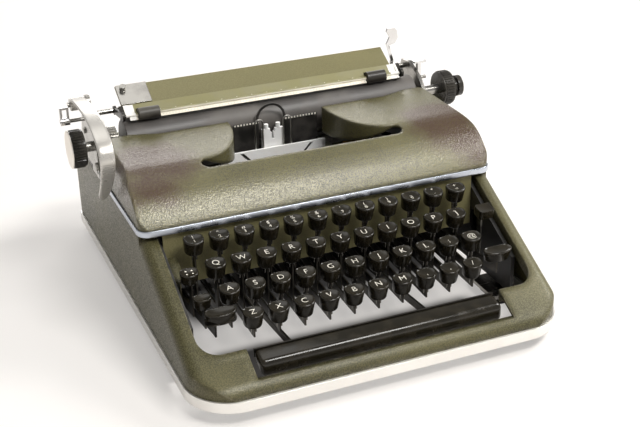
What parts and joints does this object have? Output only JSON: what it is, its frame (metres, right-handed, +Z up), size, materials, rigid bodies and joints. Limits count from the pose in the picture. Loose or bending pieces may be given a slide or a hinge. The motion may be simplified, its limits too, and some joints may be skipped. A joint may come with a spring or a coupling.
{
  "type": "portable typewriter",
  "caption": "Portable manual typewriter with a hinged ribbon cover, a sliding carriage with platen and return lever, and a four-row keyboard.",
  "frame": {"origin": "middle of the whole machine's outline at the level of the table it stands on", "axes": "+X to the typist's right along the carriage, +Y to the rear, +Z up"},
  "size_m": [0.344, 0.3404, 0.164],
  "materials": {
    "olive_paint": "hammered semi-gloss",
    "chrome": "polished",
    "steel": "satin",
    "black_paint": "satin",
    "black_gloss": "gloss",
    "selector_paint": "gloss",
    "rubber": "matt",
    "scale_enamel": "satin enamel",
    "felt": "matt felt",
    "brass": "satin"
  },
  "bodies": {
    "chassis": {"body_shell": "olive_paint", "base_trim": "chrome", "rubber_feet": "rubber", "foot_plates": "steel", "main_frame": "black_paint", "key_well_panel": "olive_paint", "lever_comb": "steel", "key_lever_shaft": "steel", "segment": "steel", "typebars": "steel", "type_rest": "felt", "type_guide": "chrome", "guide_bracket": "chrome", "line_scale": "black_paint", "spool_cups": "black_paint", "carriage_rail": "steel", "bell": "brass"},
    "cover": {"ribbon_cover": "olive_paint", "cover_strip": "chrome"},
    "bed": {"carriage_bed": "steel", "margin_rail": "steel"},
    "stop_left": {"margin_stop_left": "black_paint"},
    "stop_right": {"margin_stop_right": "black_paint"},
    "carriage": {"carriage_frame": "steel", "paper_table": "olive_paint", "paper_pan": "steel"},
    "platen": {"platen_roller": "rubber", "platen_shaft": "chrome", "knob_left": "black_gloss", "knob_right": "black_gloss"},
    "button": {"variable_button": "black_gloss"},
    "feed": {"feed_rollers": "rubber"},
    "bail": {"paper_bail": "scale_enamel"},
    "bail_wheels": {"bail_rollers": "rubber"},
    "return_arm": {"return_lever": "chrome"},
    "selector": {"line_space_selector": "chrome"},
    "thumb": {"carriage_release": "chrome"},
    "release": {"paper_release_lever": "chrome"},
    "side_guide": {"paper_guide": "chrome"},
    "row_1": {"key_caps_row_1": "black_gloss", "key_levers_row_1": "steel"},
    "row_2": {"key_caps_row_2": "black_gloss", "key_levers_row_2": "steel"},
    "row_3": {"key_caps_row_3": "black_gloss", "key_levers_row_3": "steel"},
    "row_4": {"key_caps_row_4": "black_gloss", "key_levers_row_4": "steel"},
    "center_key": {"key_center": "black_gloss"},
    "hammer": {"typebar_center": "steel"},
    "space": {"space_bar": "black_gloss"},
    "shift": {"shift_keys": "black_gloss"},
    "lock": {"shift_lock_key": "black_gloss"},
    "margin_key": {"margin_release_key": "black_gloss"},
    "backspace": {"backspace_key": "black_gloss"},
    "ribbon_lever": {"ribbon_selector": "selector_paint"},
    "vibrator": {"ribbon_vibrator": "steel"},
    "spool_left": {"ribbon_spool_left": "black_paint"},
    "spool_right": {"ribbon_spool_right": "black_paint"},
    "drum": {"mainspring_drum": "steel"},
    "wheel": {"escapement_wheel": "brass"}
  },
  "joints": [
    {"name": "cover_hinge", "type": "hinge", "parent": "chassis", "child": "cover", "pos_m": [-0.0075, -0.0453, 0.0923], "axis": [1, 0, 0], "range_deg": [0, 60]},
    {"name": "carriage_travel", "type": "slide", "parent": "chassis", "child": "bed", "axis": [1, 0, 0], "range_m": [-0.115, 0]},
    {"name": "margin_left_slide", "type": "slide", "parent": "bed", "child": "stop_left", "axis": [1, 0, 0], "range_m": [0, 0.07]},
    {"name": "margin_right_slide", "type": "slide", "parent": "bed", "child": "stop_right", "axis": [1, 0, 0], "range_m": [-0.07, 0]},
    {"name": "carriage_lift", "type": "slide", "parent": "bed", "child": "carriage", "axis": [0, 0, 1], "range_m": [0, 0.006]},
    {"name": "platen_turn", "type": "hinge", "parent": "carriage", "child": "platen", "pos_m": [-0.001, 0.075, 0.113], "axis": [1, 0, 0], "continuous": true},
    {"name": "button_press", "type": "slide", "parent": "platen", "child": "button", "axis": [-1, 0, 0], "range_m": [0, 0.003], "stiffness_N_per_m": 200, "springref_m": -0.001},
    {"name": "feed_turn", "type": "hinge", "parent": "carriage", "child": "feed", "pos_m": [-0.001, 0.0645, 0.0953], "axis": [1, 0, 0], "continuous": true},
    {"name": "bail_lift", "type": "hinge", "parent": "carriage", "child": "bail", "pos_m": [-0.001, 0.097, 0.131], "axis": [-1, 0, 0], "range_deg": [0, 50]},
    {"name": "bail_roller_turn", "type": "hinge", "parent": "bail", "child": "bail_wheels", "pos_m": [-0.0075, 0.0705, 0.1346], "axis": [1, 0, 0], "continuous": true},
    {"name": "return_lever_swing", "type": "hinge", "parent": "carriage", "child": "return_arm", "pos_m": [-0.1565, 0.084, 0.146], "axis": [-1, 0, 0], "range_deg": [0, 55]},
    {"name": "line_space_set", "type": "hinge", "parent": "carriage", "child": "selector", "pos_m": [-0.1685, 0.08, 0.1345], "axis": [1, 0, 0], "range_deg": [-20, 20]},
    {"name": "carriage_release_press", "type": "hinge", "parent": "carriage", "child": "thumb", "pos_m": [0.1345, 0.08, 0.124], "axis": [1, 0, 0], "range_deg": [0, 15], "stiffness_Nm_per_rad": 0.01, "springref_deg": -17.19},
    {"name": "paper_release_swing", "type": "hinge", "parent": "carriage", "child": "release", "pos_m": [0.119, 0.102, 0.128], "axis": [-1, 0, 0], "range_deg": [0, 25]},
    {"name": "paper_guide_slide", "type": "slide", "parent": "carriage", "child": "side_guide", "axis": [1, 0, 0], "range_m": [0, 0.06]},
    {"name": "row_1_press", "type": "hinge", "parent": "chassis", "child": "row_1", "pos_m": [-0.0075, 0.095, 0.04], "axis": [1, 0, 0], "range_deg": [0, 4.45], "stiffness_Nm_per_rad": 1, "springref_deg": -28.65},
    {"name": "row_2_press", "type": "hinge", "parent": "chassis", "child": "row_2", "pos_m": [-0.0075, 0.095, 0.04], "axis": [1, 0, 0], "range_deg": [0, 3.97], "stiffness_Nm_per_rad": 1, "springref_deg": -28.65},
    {"name": "row_3_press", "type": "hinge", "parent": "chassis", "child": "row_3", "pos_m": [-0.0075, 0.095, 0.04], "axis": [1, 0, 0], "range_deg": [0, 3.58], "stiffness_Nm_per_rad": 1, "springref_deg": -28.65},
    {"name": "row_4_press", "type": "hinge", "parent": "chassis", "child": "row_4", "pos_m": [-0.0075, 0.095, 0.04], "axis": [1, 0, 0], "range_deg": [0, 2.6], "stiffness_Nm_per_rad": 1, "springref_deg": -28.65},
    {"name": "center_key_press", "type": "hinge", "parent": "chassis", "child": "center_key", "pos_m": [-0.0055, 0.095, 0.04], "axis": [1, 0, 0], "range_deg": [0, 3.58], "stiffness_Nm_per_rad": 0.2, "springref_deg": -17.19},
    {"name": "hammer_swing", "type": "hinge", "parent": "chassis", "child": "hammer", "pos_m": [-0.0095, 0.026, 0.064], "axis": [-1, 0, 0], "range_deg": [0, 103]},
    {"name": "space_press", "type": "hinge", "parent": "chassis", "child": "space", "pos_m": [-0.0075, -0.005, 0.015], "axis": [1, 0, 0], "range_deg": [0, 3.2], "stiffness_Nm_per_rad": 1, "springref_deg": -11.46},
    {"name": "shift_press", "type": "hinge", "parent": "chassis", "child": "shift", "pos_m": [-0.0075, 0.03, 0.022], "axis": [1, 0, 0], "range_deg": [0, 4.9]},
    {"name": "lock_press", "type": "hinge", "parent": "chassis", "child": "lock", "pos_m": [-0.1202, 0.03, 0.022], "axis": [1, 0, 0], "range_deg": [0, 3], "stiffness_Nm_per_rad": 0.1, "springref_deg": -17.19},
    {"name": "margin_release_press", "type": "hinge", "parent": "chassis", "child": "margin_key", "pos_m": [-0.1229, 0.03, 0.022], "axis": [1, 0, 0], "range_deg": [0, 5], "stiffness_Nm_per_rad": 0.1, "springref_deg": -17.19},
    {"name": "backspace_press", "type": "hinge", "parent": "chassis", "child": "backspace", "pos_m": [0.1065, 0.03, 0.022], "axis": [1, 0, 0], "range_deg": [0, 5], "stiffness_Nm_per_rad": 0.1, "springref_deg": -17.19},
    {"name": "ribbon_selector_swing", "type": "hinge", "parent": "chassis", "child": "ribbon_lever", "pos_m": [-0.1261, 0.03, 0.022], "axis": [1, 0, 0], "range_deg": [0, 4]},
    {"name": "vibrator_lift", "type": "slide", "parent": "chassis", "child": "vibrator", "axis": [0, 0, 1], "range_m": [0, 0.006]},
    {"name": "spool_left_turn", "type": "hinge", "parent": "chassis", "child": "spool_left", "pos_m": [-0.0995, 0.008, 0.095], "axis": [0, 0, 1], "continuous": true},
    {"name": "spool_right_turn", "type": "hinge", "parent": "chassis", "child": "spool_right", "pos_m": [0.0845, 0.008, 0.095], "axis": [0, 0, 1], "continuous": true},
    {"name": "drum_turn", "type": "hinge", "parent": "chassis", "child": "drum", "pos_m": [-0.1025, 0.108, 0.066], "axis": [0, 1, 0], "range_deg": [-330, 0]},
    {"name": "wheel_turn", "type": "hinge", "parent": "chassis", "child": "wheel", "pos_m": [-0.0075, 0.105, 0.0777], "axis": [0, 1, 0], "range_deg": [-660, 0]}
  ],
  "couplings": [
    {"joint": "feed_turn", "follows": "platen_turn", "ratio": -4.5833},
    {"joint": "hammer_swing", "follows": "center_key_press", "ratio": 28.75},
    {"joint": "shift_press", "follows": "carriage_lift", "rad_per_m": 13.963},
    {"joint": "drum_turn", "follows": "carriage_travel", "rad_per_m": 50},
    {"joint": "wheel_turn", "follows": "carriage_travel", "rad_per_m": 100}
  ]
}
